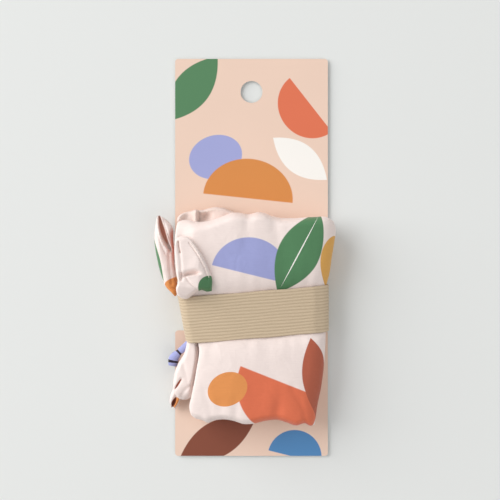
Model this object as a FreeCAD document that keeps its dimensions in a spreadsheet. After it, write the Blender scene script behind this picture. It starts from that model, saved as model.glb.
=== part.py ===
import FreeCAD, Part
import math
import os
import Sketcher

# Foldable tote bag, packed flat for sale: the bag is folded into a puffy bundle and held
# on a notched header card by a wide loop of woven elastic. Millimetres. The origin is the
# centre of the elastic's flat rear run, +Y points to the hang hole and +Z to the front.

SIZES = [
    ("card_width", 85.0),
    ("card_height", 221.0),
    ("card_thickness", 0.5),
    ("card_corner", 1.7),
    ("card_below_band", 83.4),
    ("hang_hole_radius", 6.1),
    ("hang_hole_from_top", 18.4),
    ("notch_depth", 9.5),
    ("notch_clearance", 0.8),
    ("band_width", 25.5),
    ("band_thickness", 1.0),
    ("band_side_clearance", 0.5),
    ("band_drop_right", 1.0),
    ("band_drop_left", 7.3),
    ("card_seat_gap", 0.2),
    ("soft_gap", 0.3),
    ("bundle_above", 51.0),
    ("bundle_below", 63.0),
    ("bundle_bulge", 23.6),
    ("waist_height", 18.6),
    ("waist_right_overhang", 8.0),
    ("waist_upper_left_overhang", 6.0),
    ("waist_lower_left_overhang", 1.4),
    ("upper_left_overhang", 8.4),
    ("upper_right_overhang", 13.8),
    ("lower_left_overhang", 0.2),
    ("lower_right_overhang", 3.0),
    ("wrap_wall", 2.0),
    ("gusset_tuck", 4.0),
    ("gusset_bulge", 9.6),
    ("gusset_below", 52.6),
    ("gusset_height", 10.4),
    ("corner_reach", 15.4),
    ("corner_below", 57.6),
    ("corner_width", 12.5),
    ("facing_past_bundle", 4.0),
    ("facing_length", 41.0),
    ("binding_start_radius", 1.5),
    ("binding_end_radius", 2.6),
    ("binding_length", 16.0),
    ("upper_handle_reach", 11.8),
    ("upper_handle_drop", 1.2),
    ("upper_handle_length", 43.5),
    ("upper_handle_height", 12.5),
    ("handle_slit", 1.8),
    ("draped_handle_drop", 10.0),
    ("draped_handle_length", 36.8),
    ("draped_handle_width", 18.6),
    ("draped_handle_height", 5.6),
]

doc = FreeCAD.newDocument("folded_tote_bag")
sheet = doc.addObject("Spreadsheet::Sheet", "Sizes")
for row, (alias, value) in enumerate(SIZES, start=1):
    sheet.set("A%d" % row, alias)
    sheet.set("B%d" % row, str(value))
    sheet.setAlias("B%d" % row, alias)
doc.recompute()


def size(alias):
    return float(sheet.get(alias))


# Heights of the stack, from the table up: elastic, card, bag.
card_low = size("band_thickness") + size("card_seat_gap")
card_top = card_low + size("card_thickness")
bag_low = card_top + size("soft_gap")
gap = size("soft_gap")

# The bag is folded to suit the card: its sides overhang the inner ends of the notches.
notch_x = size("card_width") / 2 - size("notch_depth")
waist_right = notch_x + size("waist_right_overhang")
waist_upper_left = notch_x + size("waist_upper_left_overhang")
waist_lower_left = notch_x + size("waist_lower_left_overhang")
upper_left = notch_x + size("upper_left_overhang")
upper_right = notch_x + size("upper_right_overhang")
lower_left = notch_x + size("lower_left_overhang")
lower_right = notch_x + size("lower_right_overhang")


# Header card: one die-cut sheet of paperboard with a round hang hole and a notch in each
# side, which stops the elastic from slipping along the card.
def origin_plane(body, role):
    for feature in body.Origin.OriginFeatures:
        if feature.Role == role:
            return feature


def flat_sketch(body, name):
    sketch = body.newObject("Sketcher::SketchObject", name)
    sketch.AttachmentSupport = [(origin_plane(body, "XY_Plane"), "")]
    sketch.MapMode = "FlatFace"
    return sketch


def add_rectangle(sketch, low_x, low_y, high_x, high_y, levels):
    corners = [(low_x, low_y), (high_x, low_y), (high_x, high_y), (low_x, high_y)]
    for index in range(4):
        start = FreeCAD.Vector(*corners[index], 0)
        end = FreeCAD.Vector(*corners[(index + 1) % 4], 0)
        sketch.addGeometry(Part.LineSegment(start, end))
    for index in range(4):
        sketch.addConstraint(Sketcher.Constraint("Coincident", index, 2, (index + 1) % 4, 1))
    for level in levels:
        sketch.addConstraint(Sketcher.Constraint(*level))


def bind(sketch, constraint, name, expression):
    index = sketch.addConstraint(constraint)
    sketch.renameConstraint(index, name)
    sketch.setExpression("Constraints." + name, expression)


def upright_edges(feature, wanted):
    names = []
    for index, edge in enumerate(feature.Shape.Edges, start=1):
        ends = [vertex.Point for vertex in edge.Vertexes]
        if len(ends) == 2 and abs(ends[0].z - ends[1].z) > 0.5 * edge.Length and wanted(ends[0]):
            names.append("Edge%d" % index)
    return names


def cut_through(body, name, sketch):
    pocket = body.newObject("PartDesign::Pocket", name)
    pocket.Profile = sketch
    pocket.Type = "ThroughAll"
    pocket.Midplane = True
    doc.recompute()
    return pocket


def make_header_card():
    body = doc.addObject("PartDesign::Body", "header_card")
    width = size("card_width")
    height = size("card_height")
    low_y = -size("card_below_band")
    outline = flat_sketch(body, "card_outline")
    add_rectangle(outline, -width / 2, low_y, width / 2, low_y + height,
                  [("Horizontal", 2), ("Vertical", 1), ("Vertical", 3), ("Symmetric", 0, 1, 0, 2, -2)])
    bind(outline, Sketcher.Constraint("DistanceX", 0, 1, 0, 2, width), "width", "Sizes.card_width")
    bind(outline, Sketcher.Constraint("DistanceY", 1, 1, 1, 2, height), "height",
         "Sizes.card_height")
    bind(outline, Sketcher.Constraint("DistanceY", 0, 1, -1, 1, -low_y), "below",
         "Sizes.card_below_band")
    card_sheet = body.newObject("PartDesign::Pad", "card_sheet")
    card_sheet.Profile = outline
    card_sheet.setExpression("Length", "Sizes.card_thickness")
    doc.recompute()

    notch_half = size("band_width") / 2 + size("notch_clearance")
    run_out = size("card_corner")
    notch = flat_sketch(body, "notch_outline")
    add_rectangle(notch, notch_x, -notch_half, width / 2 + run_out, notch_half,
                  [("Horizontal", 0), ("Horizontal", 2), ("Vertical", 3), ("Symmetric", 1, 1, 1, 2, -1)])
    bind(notch, Sketcher.Constraint("DistanceY", 1, 1, 1, 2, 2 * notch_half), "opening",
         "Sizes.band_width + 2 * Sizes.notch_clearance")
    bind(notch, Sketcher.Constraint("DistanceX", -1, 1, 0, 1, notch_x), "inner",
         "Sizes.card_width / 2 - Sizes.notch_depth")
    bind(notch, Sketcher.Constraint("DistanceX", 0, 1, 0, 2, size("notch_depth") + run_out), "depth",
         "Sizes.notch_depth + Sizes.card_corner")
    right_notch = cut_through(body, "right_notch", notch)
    both_notches = body.newObject("PartDesign::Mirrored", "both_notches")
    both_notches.Originals = [right_notch]
    both_notches.MirrorPlane = (origin_plane(body, "YZ_Plane"), [""])
    body.Tip = both_notches
    doc.recompute()

    hole_y = low_y + height - size("hang_hole_from_top")
    ring = flat_sketch(body, "hang_hole_outline")
    centre = FreeCAD.Vector(0, hole_y, 0)
    ring.addGeometry(Part.Circle(centre, FreeCAD.Vector(0, 0, 1), size("hang_hole_radius")))
    ring.addConstraint(Sketcher.Constraint("PointOnObject", 0, 3, -2))
    bind(ring, Sketcher.Constraint("Radius", 0, size("hang_hole_radius")), "radius",
         "Sizes.hang_hole_radius")
    bind(ring, Sketcher.Constraint("DistanceY", -1, 1, 0, 3, hole_y), "above",
         "Sizes.card_height - Sizes.card_below_band - Sizes.hang_hole_from_top")
    hang_hole = cut_through(body, "hang_hole", ring)

    corners = body.newObject("PartDesign::Fillet", "card_corners")
    side = width / 2 - size("card_thickness") / 2
    corners.Base = (hang_hole, upright_edges(hang_hole, lambda point: abs(point.x) > side))
    corners.setExpression("Radius", "Sizes.card_corner")
    body.Tip = corners
    body.setExpression("Placement.Base.z", "Sizes.band_thickness + Sizes.card_seat_gap")
    doc.recompute()
    return body


# Cross-sections of the soft pieces: a rounded rectangle standing on a plane across Y.
# Its corner radii are shares of its height, or of its width where that is less. Each
# corner is a few chords, which are parallel from one section to the next, so a loft
# through the sections has flat faces.
ROUND = 0.44
SQUARE = 0.2
CORNER_CHORDS = 5


def rounded_section(y, left, right, low, high, left_share=ROUND, right_share=ROUND):
    least = min(high - low, right - left)
    left_radius = left_share * least
    right_radius = right_share * least
    corners = [
        (right - right_radius, low + right_radius, right_radius, -1),
        (right - right_radius, high - right_radius, right_radius, 0),
        (left + left_radius, high - left_radius, left_radius, 1),
        (left + left_radius, low + left_radius, left_radius, 2),
    ]
    spots = []
    for centre_x, centre_z, radius, quarter in corners:
        for chord in range(CORNER_CHORDS + 1):
            angle = math.radians(90.0 * (quarter + chord / CORNER_CHORDS))
            spots.append(FreeCAD.Vector(centre_x + radius * math.cos(angle), y,
                                        centre_z + radius * math.sin(angle)))
    return spots


def flat_face(corners):
    return Part.Face(Part.makePolygon(corners + corners[:1]))


def closed_solid(faces):
    shell = Part.makeShell(faces)
    shell.sewShape()
    solid = Part.makeSolid(Part.Shell(shell.Faces))
    if solid.Volume < 0:
        solid.reverse()
    return solid


def soft_loft(stations, **shares):
    sections = [rounded_section(*station, **shares) for station in stations]
    faces = [flat_face(sections[0]), flat_face(sections[-1])]
    for above, below in zip(sections, sections[1:]):
        for index in range(len(above)):
            faces.append(flat_face([above[index - 1], above[index], below[index], below[index - 1]]))
    return closed_solid(faces)


def add_soft(label, shape):
    feature = doc.addObject("Part::Feature", label)
    feature.Label = label
    feature.Shape = shape
    feature.Placement = FreeCAD.Placement()
    return feature


def mix(first, second, share):
    return first + (second - first) * min(max(share, 0.0), 1.0)


# Elastic band: one strip of woven elastic joined into a loop. Its rear run lies flat in
# the card's notches and its front run pulls the bundle in to a waist, a little askew.
SIDE_CHORDS = 8
FRONT_CHORDS = 6


def band_drop(x, z):
    front = bag_low + size("waist_height")
    across = (waist_right - x) / (waist_right + waist_upper_left)
    fall = size("band_drop_right") + (size("band_drop_left") - size("band_drop_right")) * across
    return fall * z / front


def band_path(left_reach, growth):
    clearance = size("band_side_clearance") + growth
    top = bag_low + size("waist_height") + clearance
    low = size("band_thickness") - growth
    rear_half = notch_x + size("band_side_clearance")
    halves = []
    for side, reach, share in ((1, waist_right, ROUND), (-1, left_reach, SQUARE)):
        corner = share * size("waist_height") + clearance
        rise = bag_low + share * size("waist_height") - low
        outer = reach + clearance
        half = []
        for chord in range(SIDE_CHORDS + 1):
            turn = math.radians(90.0 * chord / SIDE_CHORDS)
            half.append((side * (rear_half + (outer - rear_half) * math.sin(turn)),
                         low + rise * (1 - math.cos(turn))))
        for chord in range(SIDE_CHORDS + 1):
            turn = math.radians(90.0 * chord / SIDE_CHORDS)
            half.append((side * (outer - corner + corner * math.cos(turn)),
                         top - corner + corner * math.sin(turn)))
        for chord in range(1, FRONT_CHORDS):
            half.append((side * (outer - corner) * (1 - chord / FRONT_CHORDS), top))
        halves.append(half)
    return halves[0] + [(0.0, top)] + halves[1][::-1]


def band_edge(side, left_reach, growth):
    half_width = side * size("band_width") / 2
    spots = [FreeCAD.Vector(x, half_width - band_drop(x, z), z)
             for x, z in band_path(left_reach, growth)]
    spots[0].y = half_width
    spots[-1].y = half_width
    return spots


def make_elastic_band():
    wall = size("band_thickness")
    edges = [band_edge(1, waist_upper_left, wall), band_edge(-1, waist_lower_left, wall),
             band_edge(-1, waist_lower_left, 0.0), band_edge(1, waist_upper_left, 0.0)]
    faces = []
    for index, edge in enumerate(edges):
        before = edges[index - 1]
        faces.append(flat_face([before[-1], before[0], edge[0], edge[-1]]))
        over = Part.makeRuledSurface(Part.makePolygon(before), Part.makePolygon(edge))
        faces = faces + over.Faces
    return closed_solid(faces)


# The bundle's stations, from its upper end to its lower: height up the bag, left and
# right edge, rear and front. In the rows: share of the way from the elastic to the end,
# fullness of the bulge, and how much of its height an end keeps where it tucks in.
UPPER = [(1.0, 0.45, 0.36), (0.92, 0.85, 0.74), (0.74, 0.95, 0.97), (0.42, 1.0, 1.0), (0.16, 0.54, 1.0)]
LOWER = [(0.16, 0.54, 1.0), (0.42, 1.0, 1.0), (0.74, 1.0, 0.95), (0.93, 0.72, 0.68), (1.0, 0.36, 0.34)]
WAIST = (0.0, 0.28, 0.55, 0.8, 1.0)
waist_high = size("band_width") / 2 + gap
waist_low = -size("band_width") / 2 - size("band_drop_left") - 3 * gap


def waist_share(y):
    middle = -size("band_drop_left") / 2
    return (size("band_width") / 2 + middle - y) / size("band_width")


def waist_left(y, tuck):
    return -mix(waist_upper_left, waist_lower_left - tuck, waist_share(y))


def bulge_station(y, fullness, kept, left, right, lift):
    height = mix(size("waist_height"), size("bundle_bulge"), fullness) * kept
    lost = 1.0 - kept
    middle = bag_low + size("bundle_bulge") * (0.5 + lift * lost)
    low = max(bag_low, middle - height / 2)
    draw_in = lost * size("bundle_bulge") / 3
    return (y, left + draw_in, right - draw_in, low, low + height)


def bundle_stations():
    rows = []
    for share, fullness, kept in UPPER:
        y = mix(waist_high, size("bundle_above"), share)
        left = -mix(waist_upper_left, upper_left, fullness * 2)
        right = mix(waist_right, upper_right, fullness)
        rows.append(bulge_station(y, fullness, kept, left, right, 0.1))
    for part in WAIST:
        y = mix(waist_high, waist_low, part)
        rows.append((y, waist_left(y, size("gusset_tuck")), waist_right, bag_low,
                     bag_low + size("waist_height")))
    for share, fullness, kept in LOWER:
        y = mix(waist_low, -size("bundle_below"), share)
        left = -mix(waist_lower_left - size("gusset_tuck"), lower_left, share)
        right = mix(waist_right, lower_right, share)
        rows.append(bulge_station(y, fullness, kept, left, right, 0.04))
    return rows


bundle = bundle_stations()


def bundle_at(y):
    y = min(max(y, bundle[-1][0]), bundle[0][0])
    for above, below in zip(bundle, bundle[1:]):
        if above[0] >= y >= below[0]:
            share = (above[0] - y) / (above[0] - below[0])
            return (y,) + tuple(mix(above[item], below[item], share) for item in range(1, 5))


def stations_between(high_y, low_y):
    inner = [row[0] for row in bundle if low_y < row[0] < high_y]
    return [bundle_at(y) for y in [high_y] + inner + [low_y]]


# Front panel: the outermost ply of the bag, which wraps round the right side of the
# bundle from the rear to the front. The cavity is open at its left edge.
def make_front_panel():
    wall = size("wrap_wall")
    outer = soft_loft(bundle, left_share=SQUARE)
    rows = []
    for y, left, right, low, high in stations_between(size("bundle_above") - wall,
                                                      wall - size("bundle_below")):
        rows.append((y, left - 3 * wall, right - wall, low + wall, high - wall))
    return outer.cut(soft_loft(rows, left_share=SQUARE))


# Inner plies: the rest of the bag lies inside the front panel as three folded stacks.
# The level counts from the rear, and the middle stack reaches further into the fold.
PLIES = 3


def make_plies(level):
    inset = size("wrap_wall") + gap
    end = inset + size("wrap_wall")
    rows = []
    for y, left, right, low, high in stations_between(size("bundle_above") - end,
                                                      end - size("bundle_below")):
        room = high - low - 2 * inset
        pitch = (room + gap) / PLIES
        ply_low = low + inset + level * pitch
        short = 0.34 * room if level != 1 else 0.08 * room
        rows.append((y, left + gap, right - inset - short, ply_low, ply_low + pitch - gap))
    return soft_loft(rows)


# Bottom panel: the rear stack, with the corner of the bag's bottom standing out of the
# bundle's lower left as a pointed tip.
def pointed_corner(root_x):
    reach = size("corner_reach")
    width = size("corner_width")
    below = -size("corner_below")
    low = bundle_at(below + width * 0.45)[3] + size("wrap_wall") + gap
    profile = [(0.0, 0.5, 1.0, 1.0), (0.3, 0.48, 1.0, 1.0), (0.5, 0.15, 0.9, 0.95), (0.8, 0.0, 0.62, 0.8),
               (1.0, 0.04, 0.22, 0.45)]
    wires = []
    for share, start, end, plump in profile:
        x = root_x - reach * share
        height = size("gusset_height") * 0.38 * plump
        corners = [
            FreeCAD.Vector(x, below + width * start, low + height * 0.3),
            FreeCAD.Vector(x, below + width * (start + end) / 2, low),
            FreeCAD.Vector(x, below + width * end, low + height * 0.3),
            FreeCAD.Vector(x, below + width * (start + end) / 2, low + height),
        ]
        wires.append(Part.makePolygon(corners + corners[:1]))
    return Part.makeLoft(wires, True, True)


def make_bottom_panel():
    root_y = -size("corner_below") + size("corner_width") * 0.75
    root_x = bundle_at(root_y)[1] + 2 * size("wrap_wall")
    return make_plies(0).fuse(pointed_corner(root_x))


# Left gusset: the side ply rolled up against the open edge of the bundle. It starts
# under the elastic and swells into a soft column below it.
GUSSET = [(0.0, 0.0, 0.62), (0.17, 0.0, 0.8), (0.33, 0.0, 0.86), (0.46, 0.42, 0.92), (0.65, 0.86, 1.0),
          (0.84, 1.0, 1.0), (0.95, 0.92, 0.84), (1.0, 0.66, 0.55)]


def make_left_gusset():
    start = waist_low + size("band_width") * 0.6
    low = bag_low + size("waist_height") - size("gusset_height") - gap
    rows = []
    for share, swell, plump in GUSSET:
        y = mix(start, -size("gusset_below"), share)
        right = bundle_at(y)[1] - gap
        left = waist_left(y, 0.0) + gap - size("gusset_bulge") * swell
        rows.append((y, left, right, low, low + size("gusset_height") * plump))
    return soft_loft(rows)


# Mouth facing: the hemmed strip round the bag's mouth, which shows behind the upper
# left end of the bundle with a soft peak.
FACING = [(0.0, 4.7), (0.2, 1.5), (0.37, 0.4), (0.56, 0.0), (0.76, 2.0), (1.0, 4.2)]


def make_mouth_facing():
    above = size("bundle_above") + size("facing_past_bundle")
    inner = size("bundle_above") - 3 * size("wrap_wall")
    wires = []
    for share, drop in FACING:
        x = -upper_left + size("facing_length") * share
        top = above - drop
        under = [(y, min(bundle_at(y)[3], bag_low + size("bundle_bulge") / 4) - gap)
                 for y in (size("bundle_above"), size("bundle_above") * 0.94, inner)]
        back = (top - size("wrap_wall") / 2, bag_low)
        crest = (top, bag_low + size("wrap_wall"))
        shoulder = (top - size("wrap_wall") / 2, bag_low + 2 * size("wrap_wall"))
        corners = [(inner, bag_low), back, crest, shoulder] + under
        spots = [FreeCAD.Vector(x, y, z) for y, z in corners]
        wires.append(Part.makePolygon(spots + spots[:1]))
    return Part.makeLoft(wires, True, True)


# Mouth binding: the rolled end of the tape that binds the mouth. It lies on the card,
# below the elastic, and widens towards its free end, down and to the left.
BINDING_RUN = FreeCAD.Vector(-0.52, -0.85, 0.0)


def make_mouth_binding():
    roll = doc.addObject("Part::Cone", "mouth_binding")
    roll.setExpression("Radius1", "Sizes.binding_start_radius")
    roll.setExpression("Radius2", "Sizes.binding_end_radius")
    roll.setExpression("Height", "Sizes.binding_length")
    start = FreeCAD.Vector(-waist_lower_left, waist_low + size("band_drop_left") / 2,
                           bag_low + size("binding_end_radius"))
    roll.Placement = FreeCAD.Placement(start, FreeCAD.Rotation(FreeCAD.Vector(0, 0, 1), BINDING_RUN))
    return roll


# Upper handle: a folded loop of the bag's own cloth that stands out at the left like a
# leaf, with a narrow slit down its front where the cloth folds back. The slit starts at
# the tip and leans inwards: its lengths are shares of the handle's, its lean in degrees.
UPPER_HANDLE = [(0.0, 0.93, 0.84, 0.3), (0.13, 1.0, 0.4, 0.8), (0.3, 1.0, 0.0, 1.0), (0.5, 0.93, 0.0, 1.0),
                (0.73, 0.68, 0.0, 0.86), (0.9, 0.36, 0.0, 0.6), (1.0, 0.2, 0.0, 0.3)]
SLIT_LENGTH = 0.5
SLIT_LEAN = 20.0
SLIT_OUT = 0.88
SLIT_DEPTH = 0.6
handle_low = bag_low + size("waist_height") / 5


def make_upper_handle():
    above = size("bundle_above") - size("upper_handle_drop")
    length = size("upper_handle_length")
    high = handle_low + size("upper_handle_height")
    reach = size("upper_handle_reach")
    inner = -upper_left - gap
    rows = []
    for share, out, root, plump in UPPER_HANDLE:
        height = size("upper_handle_height") * plump
        middle = (handle_low + high) / 2
        rows.append((above - length * share, inner - reach * out, inner - reach * root,
                     middle - height / 2, middle + height / 2))
    leaf = soft_loft(rows)
    slit = Part.makeBox(size("handle_slit"), length * SLIT_LENGTH, high)
    slit.translate(FreeCAD.Vector(-size("handle_slit") / 2, -length * SLIT_LENGTH, 0))
    slit.rotate(FreeCAD.Vector(0, 0, 0), FreeCAD.Vector(0, 0, 1), SLIT_LEAN)
    slit.translate(FreeCAD.Vector(inner - reach * SLIT_OUT, above,
                                  high - size("upper_handle_height") * SLIT_DEPTH))
    return leaf.cut(slit)


# Draped handle: the other handle, which comes forward over the bundle's left shoulder
# and hangs down to the upper edge of the elastic.
DRAPED = [(0.0, 0.02, 0.4, 0.45), (0.16, 0.0, 0.5, 0.75), (0.34, 0.0, 0.7, 1.0), (0.6, 0.02, 0.92, 1.0),
          (0.86, 0.04, 1.0, 1.0), (1.0, 0.1, 0.92, 0.7)]
DRAPED_FALL = 0.34


def make_draped_handle():
    left = -upper_left
    width = size("draped_handle_width")
    band_top = bag_low + size("waist_height") + size("band_side_clearance") + size("band_thickness")
    rows = []
    above = size("bundle_above") - size("draped_handle_drop")
    for share, start, end, plump in DRAPED:
        y = above - size("draped_handle_length") * share
        fall = (share - DRAPED_FALL) / (1.0 - DRAPED_FALL)
        low = max(bundle_at(y)[4], mix(bag_low + size("bundle_bulge"), band_top, fall)) + gap
        rows.append((y, left + width * start, left + width * end, low,
                     low + size("draped_handle_height") * plump))
    return soft_loft(rows)


card = make_header_card()
pieces = [
    card,
    add_soft("elastic_band", make_elastic_band()),
    add_soft("front_panel", make_front_panel()),
    add_soft("bottom_panel", make_bottom_panel()),
    add_soft("back_panel", make_plies(1)),
    add_soft("right_gusset", make_plies(2)),
    add_soft("left_gusset", make_left_gusset()),
    add_soft("mouth_facing", make_mouth_facing()),
    make_mouth_binding(),
    add_soft("upper_handle", make_upper_handle()),
    add_soft("draped_handle", make_draped_handle()),
]
doc.recompute()

for feature in doc.Objects:
    if "Invalid" in feature.State or "Error" in feature.State:
        raise RuntimeError("%s has not been built" % feature.Name)
for piece in pieces:
    if piece.Shape.isNull() or not piece.Shape.isValid() or len(piece.Shape.Solids) != 1:
        raise RuntimeError("%s is not one valid solid" % piece.Label)

os.makedirs("parts", exist_ok=True)
for piece in pieces:
    piece.Shape.exportStep("parts/%s.step" % piece.Label)
    print("%s %.1f mm3" % (piece.Label, piece.Shape.Volume))
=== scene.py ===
import math

import bpy
import numpy as np
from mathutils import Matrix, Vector, noise


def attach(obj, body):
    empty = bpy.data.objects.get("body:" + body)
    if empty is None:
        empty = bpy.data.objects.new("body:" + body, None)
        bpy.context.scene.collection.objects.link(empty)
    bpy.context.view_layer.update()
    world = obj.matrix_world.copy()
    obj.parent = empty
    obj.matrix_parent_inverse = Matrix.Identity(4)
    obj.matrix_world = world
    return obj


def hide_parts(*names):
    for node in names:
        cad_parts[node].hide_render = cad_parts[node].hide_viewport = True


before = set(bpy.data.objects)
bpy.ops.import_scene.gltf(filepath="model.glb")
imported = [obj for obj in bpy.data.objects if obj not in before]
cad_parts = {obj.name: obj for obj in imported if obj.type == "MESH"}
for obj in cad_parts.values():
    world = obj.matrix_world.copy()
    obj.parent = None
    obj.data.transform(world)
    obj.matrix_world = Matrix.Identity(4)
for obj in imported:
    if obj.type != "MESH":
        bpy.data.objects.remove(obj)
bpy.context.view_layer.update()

# Studio: the pack lies on a pale floor and is seen from straight above through a long
# lens. One large soft lamp stands at the upper left, a weak one at the lower right, and
# a pale world fills the shadows. Lengths in this file are millimetres.
FIELD_ON_CARD = 278.35
CARD_FACE = 1.7
LENS_ABOVE_CARD = 800.0
VIEW_CENTRE = (-0.84, 31.2)
SENSOR = 36.0
PER_METRE = 1000.0

camera_data = bpy.data.cameras.new("overhead_camera")
camera_data.sensor_width = SENSOR
camera_data.lens = SENSOR * LENS_ABOVE_CARD / FIELD_ON_CARD
camera = bpy.data.objects.new("overhead_camera", camera_data)
camera.location = Vector((*VIEW_CENTRE, CARD_FACE + LENS_ABOVE_CARD)) / PER_METRE
bpy.context.collection.objects.link(camera)
bpy.context.scene.camera = camera
bpy.context.scene.view_settings.view_transform = "Standard"

for lamp_name, watts, width, spot in (("window_lamp", 91.0, 2.8, (-2.35, 1.1, 1.55)),
                                      ("fill_lamp", 5.0, 1.4, (1.1, -0.7, 1.5))):
    lamp_data = bpy.data.lights.new(lamp_name, "AREA")
    lamp_data.energy = watts
    lamp_data.size = width
    lamp = bpy.data.objects.new(lamp_name, lamp_data)
    lamp.location = spot
    lamp.rotation_euler = (-Vector(spot)).to_track_quat("-Z", "Y").to_euler()
    bpy.context.collection.objects.link(lamp)

world = bpy.data.worlds.new("pale_room")
world.use_nodes = True
world.node_tree.nodes["Background"].inputs["Color"].default_value = (1.0, 1.0, 1.0, 1.0)
world.node_tree.nodes["Background"].inputs["Strength"].default_value = 0.5
bpy.context.scene.world = world


def pigment(code):
    """An ink or thread colour, from its hex code, as linear red, green, blue and alpha."""
    shares = [int(code[start:start + 2], 16) / 255 for start in (0, 2, 4)]
    return [((s + 0.055) / 1.055) ** 2.4 if s > 0.04045 else s / 12.92 for s in shares] + [1.0]


def new_material(name, **values):
    """A material with one Principled shader, its sockets set from values."""
    material = bpy.data.materials.new(name)
    material.use_nodes = True
    shader = material.node_tree.nodes["Principled BSDF"]
    for socket, value in values.items():
        shader.inputs[socket.replace("_", " ")].default_value = value
    return material, material.node_tree, shader


def add_node(tree, kind, settings=None, **links):
    """A node with its settings, each named input linked to a socket or set to a value."""
    node = tree.nodes.new("ShaderNode" + kind)
    for setting, value in (settings or {}).items():
        setattr(node, setting, value)
    for socket, value in links.items():
        target = node.inputs[int(socket[1:])] if socket[0] == "i" and socket[1:].isdigit() \
            else node.inputs[socket.replace("_", " ")]
        if isinstance(value, bpy.types.NodeSocket):
            tree.links.new(value, target)
        else:
            target.default_value = value
    return node


def mixed(tree, share, first, second):
    """The colour that lies this share of the way from the first to the second."""
    return add_node(tree, "Mix", {"data_type": "RGBA"}, i0=share, i6=first, i7=second).outputs[2]


floor_material, floor_tree, floor_shader = new_material("pale_floor", Roughness=0.85)
floor_noise = add_node(floor_tree, "TexNoise", Scale=3.0, Detail=2.0)
floor_colour = mixed(floor_tree, floor_noise.outputs["Fac"], pigment("e4e6e4"), pigment("e8e9e7"))
floor_tree.links.new(floor_colour, floor_shader.inputs["Base Color"])
bpy.ops.object.select_all(action="DESELECT")
bpy.ops.mesh.primitive_plane_add(size=4.0)
floor = bpy.context.object
floor.name = "studio_floor"
floor.data.materials.append(floor_material)


# Header card: a die-cut sheet of peach printed paperboard. The CAD solid has its hang
# hole, notches and corners, so it stays and gets the print: half-discs, petals and
# pebbles, with the white core at the cut edges and plain board behind.
def math_node(tree, operation, *values):
    """The result of one Math node on these sockets or numbers."""
    inputs = {f"i{place}": value for place, value in enumerate(values)}
    return add_node(tree, "Math", {"operation": operation}, **inputs).outputs[0]


def scaled(tree, vector, factor):
    """A place or colour times a factor."""
    return add_node(tree, "VectorMath", {"operation": "SCALE"}, i0=vector, Scale=factor).outputs[0]


def motif_group():
    """Mask of one printed motif: a disc, a half-disc with a flat edge, or a petal."""
    tree = bpy.data.node_groups.new("printed_motif", "ShaderNodeTree")
    for name, kind in (("Place", "NodeSocketVector"), ("Centre", "NodeSocketVector"),
                       ("Half Size", "NodeSocketVector"), ("Turn", "NodeSocketFloat"),
                       ("Roundness", "NodeSocketFloat"), ("Flat Edge", "NodeSocketFloat")):
        tree.interface.new_socket(name=name, in_out="INPUT", socket_type=kind)
    tree.interface.new_socket(name="Mask", in_out="OUTPUT", socket_type="NodeSocketFloat")
    given = tree.nodes.new("NodeGroupInput").outputs
    moved = add_node(tree, "VectorMath", {"operation": "SUBTRACT"}, i0=given["Place"],
                     i1=given["Centre"])
    turned = add_node(tree, "VectorRotate", {"rotation_type": "Z_AXIS"}, Vector=moved.outputs[0],
                      Angle=given["Turn"])
    sized = add_node(tree, "VectorMath", {"operation": "DIVIDE"}, i0=turned.outputs[0],
                     i1=given["Half Size"])
    along, up = add_node(tree, "SeparateXYZ", i0=sized.outputs[0]).outputs[:2]
    along_squared = math_node(tree, "MULTIPLY", along, along)
    rounded = math_node(tree, "POWER", math_node(tree, "ABSOLUTE", up), given["Roundness"])
    spread = math_node(tree, "ADD", along_squared, rounded)
    inside = add_node(tree, "MapRange", i0=spread, i1=1.02, i2=0.98).outputs[0]
    above = math_node(tree, "SUBTRACT", up, given["Flat Edge"])
    beyond = add_node(tree, "MapRange", i0=above, i1=-0.01, i2=0.01).outputs[0]
    mask = math_node(tree, "MULTIPLY", inside, beyond)
    tree.links.new(mask, tree.nodes.new("NodeGroupOutput").inputs["Mask"])
    return tree


def print_motifs(tree, place, ground, motifs):
    """Lay the motifs over the ground colour, and return the colour socket."""
    colour = add_node(tree, "RGB").outputs[0]
    colour.default_value = ground
    for ink, centre, half_size, turn, roundness, flat_edge in motifs:
        motif = add_node(tree, "Group", {"node_tree": PRINTED_MOTIF}, Place=place,
                         Centre=(*centre, 0), Half_Size=(*half_size, 1),
                         Turn=math.radians(-turn), Roundness=roundness, Flat_Edge=flat_edge)
        colour = mixed(tree, motif.outputs[0], colour, pigment(ink))
    return colour


PRINTED_MOTIF = motif_group()
DISC = 2.0
PETAL = 1.0
WHOLE = -2.0
HALF = 0.0
CORAL = "e2734f"
TERRACOTTA = "b75f45"
MUSTARD = "e3ab58"
GREEN = "528359"
ORANGE = "e69553"
LAVENDER = "a2a7d8"
CARAMEL = "d98b45"
BROWN = "84452f"
BLUE = "4f88bd"
CREAM = "fbf7f1"
SLIT_PAINTED_SHADE = "dfa996"
DARK_BAND = "2b2130"
CARD_GROUND = "eed0bd"
PLAIN_BOARD = "f1ede6"
PRINT_ABOVE = 1.66
CARD_MOTIFS = [
    (GREEN, (-33, 121), (23, 10), 52, PETAL, WHOLE),
    (CORAL, (33, 112), (19, 18), 128, DISC, HALF),
    (LAVENDER, (-20, 83), (15, 12), 18, DISC, WHOLE),
    (CREAM, (27, 82), (19, 8.5), -38, PETAL, WHOLE),
    (CARAMEL, (-2, 60), (25, 22), -6, DISC, HALF),
    (BROWN, (-19, -74), (24, 10), 28, PETAL, WHOLE),
    (BLUE, (24, -84), (15, 15), -14, DISC, HALF),
    (MUSTARD, (-44, 20), (11, 13), 0, DISC, WHOLE),
]
card_material, card_tree, card_shader = new_material("printed_paperboard", Roughness=0.62)
card_place = scaled(card_tree, add_node(card_tree, "TexCoord").outputs["Object"], PER_METRE)
card_front = print_motifs(card_tree, card_place, pigment(CARD_GROUND), CARD_MOTIFS)
card_level = add_node(card_tree, "SeparateXYZ", i0=card_place).outputs[2]
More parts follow.
